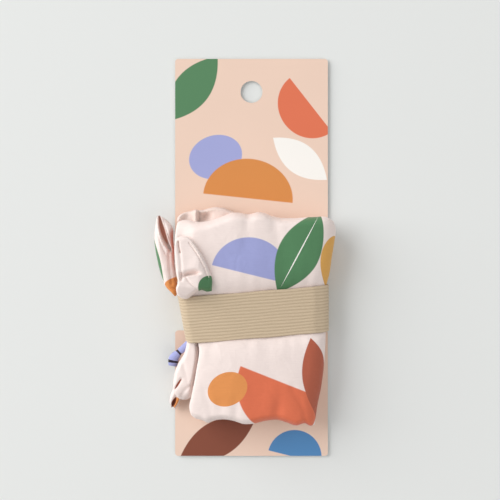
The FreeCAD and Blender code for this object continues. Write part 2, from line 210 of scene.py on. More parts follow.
on_front = math_node(card_tree, "GREATER_THAN", card_level, PRINT_ABOVE)
card_face = mixed(card_tree, on_front, pigment(PLAIN_BOARD), card_front)
paper_fibre = add_node(card_tree, "TexNoise", Vector=card_place, Scale=1.6, Detail=4.0,
                       Roughness=0.7)
paper_cloud = add_node(card_tree, "TexNoise", Vector=card_place, Scale=0.02, Detail=1.0)
paper_tone = add_node(card_tree, "MapRange", i0=paper_cloud.outputs["Fac"], i1=0.2, i2=0.8,
                      i3=0.975, i4=1.02)
card_colour = scaled(card_tree, card_face, paper_tone.outputs[0])
card_tree.links.new(card_colour, card_shader.inputs["Base Color"])
card_bump = add_node(card_tree, "Bump", Strength=0.12, Distance=0.00006,
                     Height=paper_fibre.outputs["Fac"])
card_tree.links.new(card_bump.outputs[0], card_shader.inputs["Normal"])
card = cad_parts["header_card"]
card.data.materials.clear()
card.data.materials.append(card_material)


# Front panel: the bag's thin printed polyester, one sheet that wraps round the right
# side of the bundle and puffs up above and below the elastic. Its left edge is open,
# and its upper and lower ends are folded in, which gives them their wavy edges.
def curve_through(points, shares):
    """Places at shares, 0 to 1, of a smooth line through the points."""
    stops = np.array(points, float)
    walked = np.r_[0.0, np.cumsum(np.linalg.norm(np.diff(stops, axis=0), axis=1))]
    walked = walked / walked[-1]
    slopes = np.gradient(stops, walked, axis=0)
    first = np.clip(np.searchsorted(walked, shares, side="right") - 1, 0, len(stops) - 2)
    run = (walked[first + 1] - walked[first])[:, None]
    part = (shares - walked[first])[:, None] / run
    return ((2 * part ** 3 - 3 * part ** 2 + 1) * stops[first]
            + (part ** 3 - 2 * part ** 2 + part) * run * slopes[first]
            + (3 * part ** 2 - 2 * part ** 3) * stops[first + 1]
            + (part ** 3 - part ** 2) * run * slopes[first + 1])


def eased_shares(count):
    """Shares from 0 to 1 that lie closer together at both ends, where the edges curl."""
    return 0.5 - 0.5 * np.cos(math.pi * np.linspace(0, 1, count))


def patch_between(top, right, bottom, left, across, along):
    """Plan places of a patch inside four edge lines, rows from the top, columns from the left."""
    over, under = curve_through(top, across), curve_through(bottom, across)
    west, east = curve_through(left, along), curve_through(right, along)
    a, b = across[None, :, None], along[:, None, None]
    return ((1 - b) * over[None] + b * under[None] + (1 - a) * west[:, None] + a * east[:, None]
            - (1 - a) * (1 - b) * over[0] - a * (1 - b) * over[-1]
            - (1 - a) * b * under[0] - a * b * under[-1])


def quarter_round(inset, radius):
    """How far a soft edge has risen, 0 to 1, at this distance in from it."""
    return np.sqrt(1 - (1 - np.clip(inset / radius, 0, 1)) ** 2)


def soft_noise(x, y, pitch, seed):
    """Smooth unevenness from -1 to 1 with lumps of about this pitch."""
    places = zip(np.ravel(x / pitch), np.ravel(y / pitch))
    lumps = np.array([noise.noise(Vector((p, q, seed))) for p, q in places])
    return lumps.reshape(np.shape(x)) * 1.6


def dent(x, y, centre, half_size, turn=0.0):
    """A smooth dimple of depth 1 at the centre, longer along its turned x axis."""
    turn = math.radians(turn)
    u = (x - centre[0]) * math.cos(turn) + (y - centre[1]) * math.sin(turn)
    v = (y - centre[1]) * math.cos(turn) - (x - centre[0]) * math.sin(turn)
    return np.exp(-(u / half_size[0]) ** 2 - (v / half_size[1]) ** 2)


def crease(x, y, points, width):
    """A smooth groove of depth 1 along the line through the points."""
    line = curve_through(points, np.linspace(0, 1, 40))
    return np.exp(-(np.min([np.hypot(x - cx, y - cy) for cx, cy in line], axis=0) / width) ** 2)


def lay_cloth(name, places, flat, wall=0.0):
    """A grid primitive laid on the places, its UV map the flat cloth in metres, with a wall."""
    rows, columns = places.shape[:2]
    bpy.ops.object.select_all(action="DESELECT")
    bpy.ops.mesh.primitive_grid_add(x_subdivisions=columns - 1, y_subdivisions=rows - 1, size=1.0)
    piece = bpy.context.object
    piece.name = name
    piece.data.name = name
    piece.data.vertices.foreach_set("co", places.ravel() / PER_METRE)
    corners = np.empty(len(piece.data.loops), int)
    piece.data.loops.foreach_get("vertex_index", corners)
    piece.data.uv_layers.active.data.foreach_set("uv", flat.reshape(-1, 2)[corners].ravel() / PER_METRE)
    bpy.ops.object.mode_set(mode="EDIT")
    bpy.ops.mesh.select_all(action="SELECT")
    bpy.ops.mesh.remove_doubles(threshold=0.00003)
    if not wall:
        bpy.ops.mesh.normals_make_consistent(inside=False)
    bpy.ops.object.mode_set(mode="OBJECT")
    if wall:
        thicken = piece.modifiers.new("wall", "SOLIDIFY")
        thicken.thickness = wall / PER_METRE
        thicken.offset = -1.0
        bpy.ops.object.modifier_apply(modifier="wall")
    bpy.ops.object.shade_smooth()
    return piece


def band_drop(x):
    """How far the askew elastic hangs below its level run, over the front at x."""
    return 1.0 + BAND_SLANT * (BAND_REACH - x) / BAND_SPAN


def right_fall(x):
    """How far the front of the bundle falls away towards its right side."""
    return RIGHT_FALL * np.clip((x + 20) / 58, 0, 1.1) ** 1.6


def cloth_material(name, motifs, ground="f5e5df"):
    """Printed satin-finish polyester: fine plain weave, slubs and a soft sheen."""
    material, tree, shader = new_material(name, Roughness=0.56, Sheen_Weight=0.12,
                                          Sheen_Roughness=0.4, Specular_IOR_Level=0.35)
    place = scaled(tree, add_node(tree, "UVMap").outputs[0], PER_METRE)
    colour = print_motifs(tree, place, pigment(ground), motifs)
    weave = add_node(tree, "Group", {"node_tree": PLAIN_WEAVE}, Place=place, Thread_Pitch=0.34)
    tree.links.new(scaled(tree, colour, weave.outputs["Tone"]), shader.inputs["Base Color"])
    crinkle = add_node(tree, "TexNoise", Vector=place, Scale=0.085, Detail=3.0, Roughness=0.45,
                       Distortion=1.4)
    soft_bump = add_node(tree, "Bump", Strength=0.35, Distance=0.0012,
                         Height=crinkle.outputs["Fac"])
    bump = add_node(tree, "Bump", Strength=0.25, Distance=0.00005, Height=weave.outputs["Height"],
                    Normal=soft_bump.outputs[0])
    tree.links.new(bump.outputs[0], shader.inputs["Normal"])
    return material


def weave_group():
    """Height and tone of a plain weave at this thread pitch, with slubs along the threads."""
    tree = bpy.data.node_groups.new("plain_weave", "ShaderNodeTree")
    for name, way, kind in (("Place", "INPUT", "Vector"), ("Thread Pitch", "INPUT", "Float"),
                            ("Height", "OUTPUT", "Float"), ("Tone", "OUTPUT", "Float")):
        tree.interface.new_socket(name=name, in_out=way, socket_type="NodeSocket" + kind)
    given = tree.nodes.new("NodeGroupInput").outputs
    out = tree.nodes.new("NodeGroupOutput").inputs
    waves = []
    for axis in add_node(tree, "SeparateXYZ", i0=given["Place"]).outputs[:2]:
        turns = math_node(tree, "DIVIDE", axis, given["Thread Pitch"])
        waves.append(math_node(tree, "SINE", math_node(tree, "MULTIPLY", turns, math.tau)))
    crossing = math_node(tree, "MULTIPLY", *waves)
    slub_place = add_node(tree, "VectorMath", {"operation": "MULTIPLY"}, i0=given["Place"],
                          i1=(0.15, 2.2, 1.0))
    slub = add_node(tree, "TexNoise", Vector=slub_place.outputs[0], Scale=1.0, Detail=2.0)
    height = math_node(tree, "MULTIPLY_ADD", slub.outputs["Fac"], 1.2, crossing)
    tone = add_node(tree, "MapRange", i0=slub.outputs["Fac"], i1=0.25, i2=0.75, i3=0.975, i4=1.02)
    tree.links.new(height, out["Height"])
    tree.links.new(tone.outputs[0], out["Tone"])
    return tree


PLAIN_WEAVE = weave_group()
BAG_LOW = 2.0
WAIST = 18.6
BULGE = 23.6
RIGHT_FALL = 4.2
BAND_WIDTH = 25.5
BAND_HALF = BAND_WIDTH / 2
BAND_REACH = 41.0
BAND_SPAN = 80.0
BAND_SLANT = 6.3
OPEN_EDGE_HEIGHT = 11.0
SIDE_RADIUS = 8.5
REAR_RADII = (7.0, 6.0)
QUARTER_WAY = 10
AROUND_SIDE = 23.5
PANEL_WALL = 0.8
PANEL_TOP = [(-41.2, 43.6), (-40.7, 46.4), (-38.4, 47.8), (-35.0, 47.8), (-31.4, 46.9),
             (-28.0, 46.6), (-25.0, 46.9), (-18.9, 48.6), (-14.5, 50.2), (-11.2, 51.5), (-5.5, 51.5),
             (-2.5, 50.8), (4.1, 52.0), (7.9, 51.3), (11.2, 49.9), (15.5, 48.9), (21.6, 48.7),
             (34.2, 49.3), (41.5, 49.2), (45.0, 47.0)]
PANEL_RIGHT = [(45.0, 47.0), (46.2, 42.5), (45.5, 36.0), (44.2, 28.0), (42.6, 17.5), (41.0, 11.5),
               (40.8, 0.0), (40.7, -13.0), (40.5, -20.0), (40.0, -29.0), (38.4, -43.0), (36.2, -54.0),
               (34.7, -64.6)]
PANEL_BOTTOM = [(-32.6, -59.4), (-30.6, -61.0), (-28.2, -61.6), (-25.4, -62.6), (-23.8, -63.6),
                (-22.2, -62.7), (-19.8, -62.0), (-14.0, -61.6), (-9.6, -62.4), (-4.1, -64.1),
                (0.3, -64.0), (7.9, -62.3), (14.5, -61.9), (19.4, -63.4), (24.6, -65.0),
                (29.0, -63.8), (32.4, -65.2), (34.7, -64.6)]
PANEL_LEFT = [(-41.2, 43.6), (-41.5, 38.0), (-41.3, 24.0), (-40.6, 17.0), (-38.5, 11.0), (-34.6, -4.0),
              (-30.8, -15.5), (-28.8, -20.6), (-30.0, -34.4), (-32.6, -48.0), (-33.7, -53.6),
              (-32.6, -59.4)]
PANEL_MOTIFS = [
    (LAVENDER, (-1, 18), (21, 20), -14, DISC, HALF),
    (GREEN, (26, 30), (25, 11.5), 62, PETAL, WHOLE),
    (CREAM, (26, 30), (22, 0.32), 62, PETAL, WHOLE),
    (MUSTARD, (50, 24), (12, 15), 10, DISC, WHOLE),
    (CORAL, (20, -42), (28, 28), 158, DISC, HALF),
    (TERRACOTTA, (38, -40), (24, 10), 104, PETAL, WHOLE),
    (ORANGE, (-13, -44), (11, 9), 24, DISC, WHOLE),
    (CORAL, (92, 10), (22, 20), 40, DISC, HALF),
    (GREEN, (110, -40), (22, 9), 30, PETAL, WHOLE),
]


def puff(x, y):
    """Thickness of the bundle at (x, y): the elastic's waist, swelling above and below it."""
    drop = band_drop(x)
    off = np.maximum(y - (BAND_HALF - drop), -(y + BAND_HALF + drop))
    swell = 1 - np.exp(-np.maximum(off - 0.2, 0) / 5.0)
    pleat = np.exp(-np.maximum(off, 0) / 5.5) * np.clip(off / 2.0, 0, 1)
    ripple = soft_noise(x * 1.9, y * 0.5, 9.0, 3.0) * pleat
    low_right = np.clip(x / 36, 0, 1.1) ** 2 * np.clip(-(y + 18) / 12, 0, 1)
    return WAIST - right_fall(x) - 1.8 * low_right + (BULGE - WAIST) * swell + 0.6 * ripple


def panel_surface(count_across, count_along):
    """Places of the wrapped panel: columns run over the rear, round the right side and
    back over the front; rows run from the upper end to the lower."""
    half = np.sin(0.5 * math.pi * np.linspace(0, 1, count_across))
    along = eased_shares(count_along)
    plan = patch_between(PANEL_TOP, PANEL_RIGHT, PANEL_BOTTOM, PANEL_LEFT, half, along)
    x, y = plan[..., 0], plan[..., 1]
    from_right = x[:, -1:] - x
    from_left = x - x[:, :1]
    from_top = y[:1] - y
    from_bottom = y - y[-1:]
    corner = np.exp(-((x + 39) / 7) ** 2 - ((y - 46) / 11) ** 2)
    level = (BAG_LOW + OPEN_EDGE_HEIGHT - 4.0 * corner
             + 2.0 * np.exp(-((x + 20) / 9) ** 2 - ((y - 50) / 6) ** 2))
    rise = (quarter_round(from_right, SIDE_RADIUS) * quarter_round(from_top, 5.0 + 7.0 * corner)
            * quarter_round(from_bottom, 4.4) * (0.93 + 0.07 * quarter_round(from_left, 4.0)))
    lumps = soft_noise(x, y, 26.0, 8.0) * 0.55 + soft_noise(x, y, 11.0, 5.0) * 0.16
    folds = (0.8 * dent(x, y, (-2.4, 47), (2.0, 8.0))
             + 0.7 * dent(x, y, (12.5, 45), (2.6, 9.0), 12)
             + 0.5 * dent(x, y, (-17, -56), (3.0, 8.0))
             + 0.8 * dent(x, y, (14, -57), (2.6, 9.0), -8)
             + 0.6 * dent(x, y, (-8.5, -56), (2.0, 7.0))
             + 2.0 * dent(x, y, (-38.0, 41.5), (2.4, 7.0), 6)
             + 1.1 * crease(x, y, [(-36.5, 47.0), (-34.4, 43.0), (-34.0, 38.5)], 1.2)
             + 0.5 * crease(x, y, [(29.4, -63.0), (27.6, -54.0), (22.0, -44.0)], 1.6)
             + 0.4 * crease(x, y, [(-21.6, -62.0), (-22.6, -54.0), (-25.4, -45.0)], 1.5))
    front = level + (BAG_LOW + puff(x, y) - level) * rise + (lumps - folds) * rise
    rear_rise = (quarter_round(from_right, REAR_RADII[0]) * quarter_round(from_top, REAR_RADII[1])
                 * quarter_round(from_bottom, REAR_RADII[1]))
    rear = level - (level - BAG_LOW) * rear_rise
    turn = np.arcsin(1 - np.clip(from_right / SIDE_RADIUS, 0, 1))
    over_rear = (x[:, -1:] + AROUND_SIDE - QUARTER_WAY * turn
                 + np.maximum(from_right - SIDE_RADIUS, 0))
    over_front = np.minimum(x, x[:, -1:] - SIDE_RADIUS) + QUARTER_WAY * turn
    around = np.concatenate([over_rear, over_front[:, ::-1][:, 1:]], axis=1)
    places = np.concatenate([np.dstack([x, y, rear]),
                             np.dstack([x, y, front])[:, ::-1][:, 1:]], axis=1)
    return places, np.dstack([around, places[..., 1]])


front_panel = lay_cloth("front_panel_cloth", *panel_surface(74, 118), wall=PANEL_WALL)
front_panel.data.materials.append(cloth_material("printed_front_cloth", PANEL_MOTIFS))
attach(front_panel, "bag")
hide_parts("front_panel")


# Inner plies: the back, the right gusset and the bottom of the bag, folded into three
# stacks inside the front panel. Their folded edges show in its open left side.
PLY_LEVELS = {"bottom_panel": (3.1, 8.5), "back_panel": (8.8, 14.2), "right_gusset": (14.5, 19.6)}
PLY_LOBES = 2
PLY_RIGHT = 10.0
PLY_SPOTS = np.array([-36.0, -6.0, PLY_RIGHT])
PLY_ENDS = (-54.5, 44.0)
PLY_CLEARANCE = 1.6


def ply_places(low, high, seed):
    """Places of one stack between two levels: round lobes at the left, flat to the right."""
    along = eased_shares(70)
    edge = curve_through(PANEL_LEFT, along)
    rows = []
    for share, (left, y) in zip(along, edge):
        y = np.clip(y, *PLY_ENDS)
        plump = quarter_round(np.array(min(share, 1 - share)), 0.09)
        swell = (np.min(puff(PLY_SPOTS, np.full(3, y))) - PLY_CLEARANCE - WAIST) / WAIST
        base = BAG_LOW + (low - BAG_LOW) * (1 + swell)
        tall = (high - low) * (1 + 0.8 * swell) * max(plump, 0.05)
        middle = base + (high - low) * (1 + 0.8 * swell) / 2
        radius = tall / (2 * PLY_LOBES)
        left += 1.4 + 0.5 * math.sin(y / 7.0 + seed)
        ring = []
        for lobe in range(PLY_LOBES):
            centre = middle + tall / 2 - radius * (2 * lobe + 1)
            for angle in np.radians(np.linspace(90, 270, 8)):
                ring.append((left + radius + 1.3 * radius * math.cos(angle), y,
                             centre + radius * math.sin(angle)))
        ring += [(x, y, middle - tall / 2) for x in np.linspace(left + 4, PLY_RIGHT, 9)]
        ring += [(x, y, middle + tall / 2) for x in np.linspace(PLY_RIGHT, left + 4, 9)]
        rows.append(ring + ring[:1])
    return np.array(rows)


inner_cloth = cloth_material("printed_inner_cloth", [
    (CORAL, (12, 30), (16, 16), 40, DISC, HALF), (GREEN, (10, -4), (14, 7), 70, PETAL, WHOLE)])
for node_name, (low, high) in PLY_LEVELS.items():
    places = ply_places(low, high, low)
    walked = np.linspace(0, 34, places.shape[1])[None].repeat(len(places), 0)
    ply = lay_cloth(node_name + "_folds", places, np.dstack([walked, places[..., 1]]))
    ply.data.materials.append(inner_cloth)
    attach(ply, "bag")
    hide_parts(node_name)


# Soft forms: a closed form of folded cloth inside a plan outline, with its own front
# and rear levels. The left gusset, rolled into a column below the elastic, is the first.
def soft_form(name, edges, count, front, rear, edge_level, rounds):
    """A closed form whose front and rear meet at edge_level, with rounded sides and ends."""
    across, along = eased_shares(count[0]), eased_shares(count[1])
    plan = patch_between(*edges, across, along)
    x, y = plan[..., 0], plan[..., 1]
    a, b = across[None, :], along[:, None]
    wide = np.linalg.norm(plan[:, -1] - plan[:, 0], axis=1)[:, None]
    long = np.linalg.norm(plan[-1] - plan[0], axis=1)[None]
    rise = (quarter_round(np.minimum(a, 1 - a) * wide, np.minimum(rounds[0], wide / 2))
            * quarter_round(np.minimum(b, 1 - b) * long, rounds[1]))
    middle = edge_level(x, y)
    over = middle + (front(x, y) - middle) * rise
    under = middle - (middle - rear(x, y)) * rise
    places = np.concatenate([np.dstack([x, y, over]),
                             np.dstack([x, y, under])[:, ::-1][:, 1:]], axis=1)
    tall = np.mean(front(x, y) - middle)
    step = np.hypot(np.diff(x, axis=1), np.diff(tall * rise, axis=1))
    walked = np.concatenate([np.zeros((len(step), 1)), np.cumsum(step, axis=1)], axis=1)
    centre = count[0] // 2
    walked = walked - walked[:, centre:centre + 1] + x[:, centre:centre + 1]
    around = np.concatenate([walked, (2 * walked[:, -1:] - walked)[:, ::-1][:, 1:]], axis=1)
    return lay_cloth(name, places, np.dstack([around, places[..., 1]]))


def steady(value):
    """A level that is the same everywhere."""
    return lambda x, y: np.full(np.shape(x), float(value))


THREAD_RADIUS = 0.15
STITCH_SHARES = (0.14, 0.28, 0.5, 0.72, 0.86)
STITCH_LIFTS = (-0.2, 0.06, 0.12, 0.06, -0.2)


def stitch_row(name, cloth, line, body, pitch=2.0, from_above=True, sunk=0.0, colour="f1e6da"):
    """Sewing thread along the line: short stitches whose ends dip into the cloth."""
    path = curve_through(line, np.linspace(0, 1, 300))
    walked = np.r_[0.0, np.cumsum(np.linalg.norm(np.diff(path, axis=0), axis=1))]
    thread_line = bpy.data.curves.new(name, "CURVE")
    thread_line.dimensions = "3D"
    thread_line.bevel_depth = THREAD_RADIUS / PER_METRE
    thread_line.bevel_resolution = 1
    thread_line.use_fill_caps = True
    side = 1 if from_above else -1
    for stitch in range(int(walked[-1] / pitch + 0.01)):
        spline = thread_line.splines.new("POLY")
        spline.points.add(len(STITCH_SHARES) - 1)
        for point, share, lift in zip(spline.points, STITCH_SHARES, STITCH_LIFTS):
            x, y = (np.interp((stitch + share) * pitch, walked, path[:, axis]) for axis in (0, 1))
            start = Vector((x, y, 20 + 40 * side)) / PER_METRE
            spot, normal = cloth.ray_cast(start, Vector((0, 0, -side)))[1:3]
            point.co = (*(spot + normal * (lift - sunk) / PER_METRE), 1)
    bpy.ops.object.select_all(action="DESELECT")
    thread = bpy.data.objects.new(name, thread_line)
    bpy.context.collection.objects.link(thread)
    thread.select_set(True)
    bpy.context.view_layer.objects.active = thread
    bpy.ops.object.convert(target="MESH")
    thread = bpy.context.object
    thread_material = new_material(name + "_thread", Base_Color=pigment(colour), Roughness=0.6)[0]
    thread.data.materials.append(thread_material)
    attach(thread, body)


GUSSET_EDGES = (
    [(-35.6, -6.0), (-34.0, -5.6), (-32.2, -6.0)],
    [(-32.2, -6.0), (-30.4, -14.0), (-29.0, -20.0), (-29.8, -33.8), (-31.8, -43.4),
     (-32.6, -49.4)],
    [(-43.0, -45.6), (-41.8, -48.2), (-39.8, -50.4), (-36.4, -51.0), (-32.6, -49.4)],
    [(-35.6, -6.0), (-35.4, -14.0), (-35.6, -20.0), (-37.0, -25.5), (-40.2, -31.0), (-42.0, -35.5),
     (-42.8, -40.0), (-43.0, -45.6)],
)


def gusset_front(x, y):
    """Upper level of the column: it rises to the right and has three soft pleats."""
    slope = 0.16 * (x + 43.5)
    pleat = (1.6 * crease(x, y, [(-41.8, -44.8), (-40.0, -42.0), (-38.4, -39.4)], 0.5)
             + 0.5 * dent(x, y, (-37.5, -30), (1.0, 9), 14)
             + 0.6 * crease(x, y, [(-38.6, -50.0), (-37.0, -46.0), (-33.4, -43.0)], 0.9))
    return (17.4 + slope + 0.35 * soft_noise(x, y, 9.0, 2.0) - pleat
            - 4.4 * dent(x, y, (-36, -53), (8, 4)))


def gusset_rear(x, y):
    """Lower level of the column, which comes down to the card below the elastic."""
    return 10.0 - 7.0 * np.clip((-34 - y) / 12, 0, 1)


gusset = soft_form("left_gusset_column", GUSSET_EDGES, (34, 76), gusset_front, gusset_rear,
                   steady(12.6), rounds=(2.4, 3.5))
gusset.data.materials.append(cloth_material("gusset_cloth_painted_crease_shade", [
    # This terracotta petal lies along the lower pleat's crease and is painted shade in it.
    (TERRACOTTA, (-40.1, -41.9), (3.6, 0.55), 58, PETAL, WHOLE)]))
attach(gusset, "bag")
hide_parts("left_gusset")

# Bottom corner: the pointed corner of the bag's bottom, which curls out of the column's
# lower end over the edge of the card.
CORNER_EDGES = (
    [(-43.4, -45.4), (-41.5, -44.8), (-39.2, -46.0)],
    [(-39.2, -46.0), (-38.9, -50.0), (-40.4, -54.0), (-42.4, -57.2)],
    [(-44.6, -56.2), (-43.4, -55.6), (-42.4, -57.2)],
    [(-43.4, -45.4), (-44.6, -48.4), (-45.4, -52.0), (-44.6, -56.2)],
)


def corner_front(x, y):
    """Upper level of the tip, which leans down to its point, with one open fold."""
    lean = 0.22 * (y + 55)
    return 9.0 + lean - 3.4 * dent(x, y, (-43.0, -53.2), (3.6, 0.8), 66)


corner = soft_form("bottom_corner_tip", CORNER_EDGES, (16, 26), corner_front, steady(2.4),
                   steady(5.4), rounds=(1.6, 1.6))
corner.data.materials.append(cloth_material("corner_print_and_painted_fold_shade", [
    (ORANGE, (-41.2, -52.4), (4.6, 1.3), 66, PETAL, WHOLE),
    # The brown petal lies in the open fold and is painted shade there; the orange petal beside it is
    # print.
    (BROWN, (-43.2, -53.4), (4.0, 1.1), 66, PETAL, WHOLE)]))
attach(corner, "bag")
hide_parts("bottom_panel")

# Mouth facing: the hemmed strip round the bag's mouth, standing up behind the front
# panel's upper edge in a soft peak, with an upright fold near its left end.
FACING_EDGES = (
    [(-41.4, 46.0), (-40.9, 49.4), (-37.8, 51.8), (-33.4, 52.9), (-30.8, 53.7), (-29.2, 53.4),
     (-27.2, 53.4), (-24.0, 54.3), (-20.2, 55.1), (-15.8, 54.7), (-11.9, 53.2), (-8.0, 51.6),
     (-3.0, 50.0)],
    [(-3.0, 50.0), (-3.0, 47.5), (-3.0, 45.5)],
    [(-41.0, 42.4), (-30.0, 43.6), (-18.0, 45.0), (-3.0, 45.5)],
    [(-41.4, 46.0), (-41.3, 44.0), (-41.0, 42.4)],
)


def facing_front(x, y):
    """Upper level of the facing: an upright fold, a hump at its left end and a hollow."""
    fold = 2.0 * np.exp(-((x + 29.0) / 0.45) ** 2) - 2.8 * np.exp(-((x + 30.6) / 1.1) ** 2)
    hump = (2.6 * dent(x, y, (-39.6, 48.6), (2.0, 3.4), -20)
            - 1.2 * dent(x, y, (-36.0, 49.6), (2.0, 3.6), -30))
    hollow = 4.4 * dent(x, y, (-25.8, 49.6), (3.4, 2.5), 14)
    return 9.0 - 0.06 * (x + 20) - fold - hollow + hump + 0.25 * soft_noise(x, y, 5.0, 9.0)


facing = soft_form("mouth_facing_hem", FACING_EDGES, (90, 28), facing_front, steady(2.1),
                   steady(4.4), rounds=(2.0, 1.5))
# The facing's ground is darker than the panel's: painted shade for the hollow behind the panel's lip.
facing.data.materials.append(cloth_material("facing_cloth_painted_shade", [], ground="ecd8cf"))
stitch_row("facing_hem_stitches", facing,
           [(-27.5, 51.9), (-24.0, 52.6), (-20.2, 53.3), (-16.4, 52.9)], "bag")
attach(facing, "bag")
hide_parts("mouth_facing")

# Mouth binding: the lavender tape that binds the mouth's edge, rolled up at its end. It
# lies beside the column, over the card's edge, and widens towards its flat end.
ROLL_ROWS = 46
ROLL_COLUMNS = 64
ROLL_LENGTH = 18
ROLL_WIDTH = 17
ROLL_LINE = [(-34.4, -19.6), (-37.4, -22.6), (-40.6, -25.6), (-43.0, -28.4), (-43.9, -33.0)]
roll_share = np.linspace(0, 1, ROLL_ROWS)
roll_angle = np.radians(np.linspace(-40, 560, ROLL_COLUMNS))
roll_line = curve_through(ROLL_LINE, roll_share)
roll_way = np.gradient(roll_line, axis=0)
roll_way = roll_way / np.linalg.norm(roll_way, axis=1)[:, None]
roll_places = []
for share, (x, y), (way_x, way_y) in zip(roll_share, roll_line, roll_way):
    bulb = math.exp(-((share - 0.80) / 0.24) ** 2)
    radius = 2.0 + 0.1 * share + 1.05 * bulb - 0.35 * math.exp(-((share - 0.47) / 0.06) ** 2)
    radii = radius * (1 - 0.42 * np.linspace(0, 1, len(roll_angle)))
    side = radii * np.cos(roll_angle)
    roll_places.append(np.stack([x - way_y * side, y + way_x * side,
                                 12.4 - 7.8 * share + 0.85 * radii * np.sin(roll_angle)], axis=1))
roll_places = np.array(roll_places)
roll_flat = np.dstack([np.linspace(0, ROLL_LENGTH, ROLL_ROWS)[:, None].repeat(ROLL_COLUMNS, 1),
                       np.linspace(0, ROLL_WIDTH, ROLL_COLUMNS)[None].repeat(ROLL_ROWS, 0)])
binding = lay_cloth("mouth_binding_roll", roll_places, roll_flat, wall=0.4)
# Two dark bands round the tape; the first lies in the roll's pinch at share 0.47.
binding.data.materials.append(cloth_material("lavender_binding_tape", [
    (DARK_BAND, (15.3, 8), (0.75, 30), 0, DISC, WHOLE), (DARK_BAND, (8.4, 6), (0.65, 30), 0, DISC, WHOLE)],
    ground=LAVENDER))
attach(binding, "bag")
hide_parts("mouth_binding")

# Upper handle: a folded loop of the bag's cloth that stands out at the left like a
# leaf. Its two hemmed edges meet over a narrow opening, and the rosy shade inside
# it is painted into the cloth as a petal along the slit.
LEAF_EDGES = (
    [(-51.9, 49.7), (-51.0, 50.2), (-49.2, 49.4)],
    [(-49.2, 49.4), (-46.8, 47.9), (-44.6, 45.6), (-43.2, 43.0), (-43.1, 38.0), (-42.6, 31.2),
     (-42.2, 23.0), (-40.9, 13.0), (-40.6, 7.4)],
    [(-43.6, 7.4), (-42.0, 5.8), (-40.6, 7.4)],
    [(-51.9, 49.7), (-52.9, 44.3), (-53.4, 37.2), (-52.2, 27.9), (-49.8, 18.1), (-47.2, 11.2),
     (-43.6, 7.4)],
)
SLIT_LINE = [(-50.7, 49.6), (-49.3, 43.4), (-47.2, 37.0), (-44.4, 31.4)]


def slit_depth(x, y):
    """Depth 0 to 1 of the opening between the handle's two edges."""
    line = curve_through(SLIT_LINE, np.linspace(0, 1, 30))
    near = np.min([np.hypot(x - cx, y - cy) / (0.55 + 0.75 * math.sin(math.pi * (k + 3) / 34))
                   for k, (cx, cy) in enumerate(line)], axis=0)
    return np.exp(-near ** 4)


def leaf_front(x, y):
    """Upper level of the leaf: crowned, with two hems, two pinches and the opening."""
    crown = 17.4 - 0.05 * (y - 30) ** 2 / 8
    hems = (0.5 * crease(x, y, [(-52.4, 47.6), (-51.6, 42.0), (-49.8, 35.6), (-47.0, 29.4)], 0.5)
            + 0.5 * crease(x, y, [(-48.2, 47.6), (-46.6, 42.4), (-44.6, 36.0)], 0.5))
    pinch = (0.9 * crease(x, y, [(-45.0, 29.4), (-44.6, 22.0), (-43.6, 13.0)], 1.1)
             + 0.9 * crease(x, y, [(-46.6, 12.0), (-44.0, 10.4), (-41.6, 9.6)], 0.6))
    return crown - hems - pinch - 6.5 * slit_depth(x, y) + 0.3 * soft_noise(x, y, 6.0, 4.0)


leaf = soft_form("upper_handle_leaf", LEAF_EDGES, (60, 96), leaf_front, steady(6.2), steady(11.5),
                 rounds=(3.2, 3.0))
leaf.data.materials.append(cloth_material("leaf_print_and_painted_slit_shade", [
    (GREEN, (-52.6, 27), (14, 2.2), 106, PETAL, WHOLE),
    (ORANGE, (-42.6, 3.4), (10, 13.5), -24, DISC, WHOLE),
    # The rose petal along the opening is painted shade, not print; green and orange are print.
    (SLIT_PAINTED_SHADE, (-48.6, 42.0), (8.5, 1.3), 107, PETAL, WHOLE)]))
stitch_row("leaf_left_lip_stitches", leaf,
           [(-51.8, 46.6), (-51.1, 42.0), (-49.4, 36.4), (-47.2, 31.6)], "upper_loop")
stitch_row("leaf_right_lip_stitches", leaf,
           [(-48.8, 46.6), (-47.2, 42.6), (-45.2, 36.6)], "upper_loop")
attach(leaf, "upper_loop")
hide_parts("upper_handle")

# Draped handle: the other handle comes forward over the bundle's left shoulder. It
# widens downwards and ends in a roll, which rests on the upper edge of the elastic.
DRAPE_EDGES = (
    [(-41.4, 35.0), (-40.6, 37.4), (-38.0, 38.6), (-35.0, 38.4), (-32.4, 36.8)],
    [(-32.4, 36.8), (-28.1, 30.9), (-24.7, 24.6), (-22.4, 19.0), (-21.5, 16.4), (-21.5, 9.0)],
    [(-40.4, 7.2), (-38.2, 5.2), (-34.7, 4.8), (-32.4, 6.4), (-29.6, 8.3), (-27.2, 9.5), (-24.0, 8.6),
     (-21.5, 9.0)],
    [(-41.4, 35.0), (-41.6, 31.0), (-41.0, 24.4), (-40.3, 17.8), (-39.9, 13.4), (-40.8, 10.6),
     (-40.4, 7.2)],
)
STRAP_HEM = [(-33.6, 35.0), (-29.9, 29.8), (-26.7, 24.2), (-24.4, 18.8), (-23.6, 15.6)]
STRAP_GAP = 0.3
STRAP_THINNEST = 0.9
OVER_BAND = 22.9


def drape_rear(x, y):
    """Lower level of the strap: just off the panel, and above the elastic's front."""
    return np.maximum(BAG_LOW + puff(x, y) + STRAP_GAP, OVER_BAND * (y < BAND_HALF))


